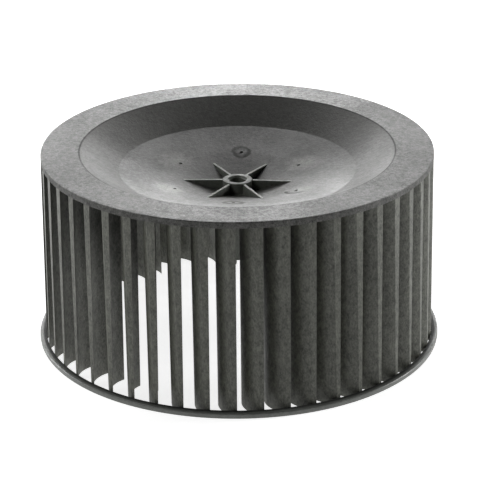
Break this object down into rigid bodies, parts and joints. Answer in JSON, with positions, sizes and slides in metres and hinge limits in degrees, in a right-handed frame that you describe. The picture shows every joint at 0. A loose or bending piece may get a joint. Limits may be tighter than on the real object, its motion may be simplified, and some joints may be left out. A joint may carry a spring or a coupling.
{
  "type": "blower wheel",
  "caption": "Single-inlet centrifugal blower wheel in dark grey moulded plastic: dished backplate with a ribbed shaft hub, a cage of forward-curved blades and a plain inlet ring.",
  "frame": {"origin": "centre of the open inlet end's lower face, on the wheel's axis", "axes": "+Z along the wheel's axis, from the open inlet end to the hub and motor end; +X 3.6 degrees anticlockwise of one of the hub ribs, seen from the hub end"},
  "size_m": [0.2508, 0.2508, 0.122],
  "materials": {
    "plate_plastic": "matt mineral-filled plastic with a fine mottled flow grain",
    "hub_plastic": "matt mineral-filled plastic, slightly smoother than the plate",
    "blade_plastic": "matt mineral-filled plastic with vertical flow mottling",
    "ring_plastic": "satin, smoother and darker than the blades"
  },
  "bodies": {
    "root": {"backplate_flange": "plate_plastic", "backplate_wall": "plate_plastic", "backplate_floor": "plate_plastic", "backplate_hub_cone": "plate_plastic", "hub_boss": "hub_plastic", "hub_rib_1": "hub_plastic", "hub_rib_2": "hub_plastic", "hub_rib_3": "hub_plastic", "hub_rib_4": "hub_plastic", "hub_rib_5": "hub_plastic", "hub_rib_6": "hub_plastic", "blade_01": "blade_plastic", "blade_02": "blade_plastic", "blade_03": "blade_plastic", "blade_04": "blade_plastic", "blade_05": "blade_plastic", "blade_06": "blade_plastic", "blade_07": "blade_plastic", "blade_08": "blade_plastic", "blade_09": "blade_plastic", "blade_10": "blade_plastic", "blade_11": "blade_plastic", "blade_12": "blade_plastic", "blade_13": "blade_plastic", "blade_14": "blade_plastic", "blade_15": "blade_plastic", "blade_16": "blade_plastic", "blade_17": "blade_plastic", "blade_18": "blade_plastic", "blade_19": "blade_plastic", "blade_20": "blade_plastic", "blade_21": "blade_plastic", "blade_22": "blade_plastic", "blade_23": "blade_plastic", "blade_24": "blade_plastic", "blade_25": "blade_plastic", "blade_26": "blade_plastic", "blade_27": "blade_plastic", "blade_28": "blade_plastic", "blade_29": "blade_plastic", "blade_30": "blade_plastic", "blade_31": "blade_plastic", "blade_32": "blade_plastic", "blade_33": "blade_plastic", "blade_34": "blade_plastic", "blade_35": "blade_plastic", "blade_36": "blade_plastic", "blade_37": "blade_plastic", "blade_38": "blade_plastic", "blade_39": "blade_plastic", "blade_40": "blade_plastic", "blade_41": "blade_plastic", "blade_42": "blade_plastic", "blade_43": "blade_plastic", "blade_44": "blade_plastic", "blade_45": "blade_plastic", "blade_46": "blade_plastic", "blade_47": "blade_plastic", "blade_48": "blade_plastic", "inlet_ring": "ring_plastic"}
  },
  "joints": []
}
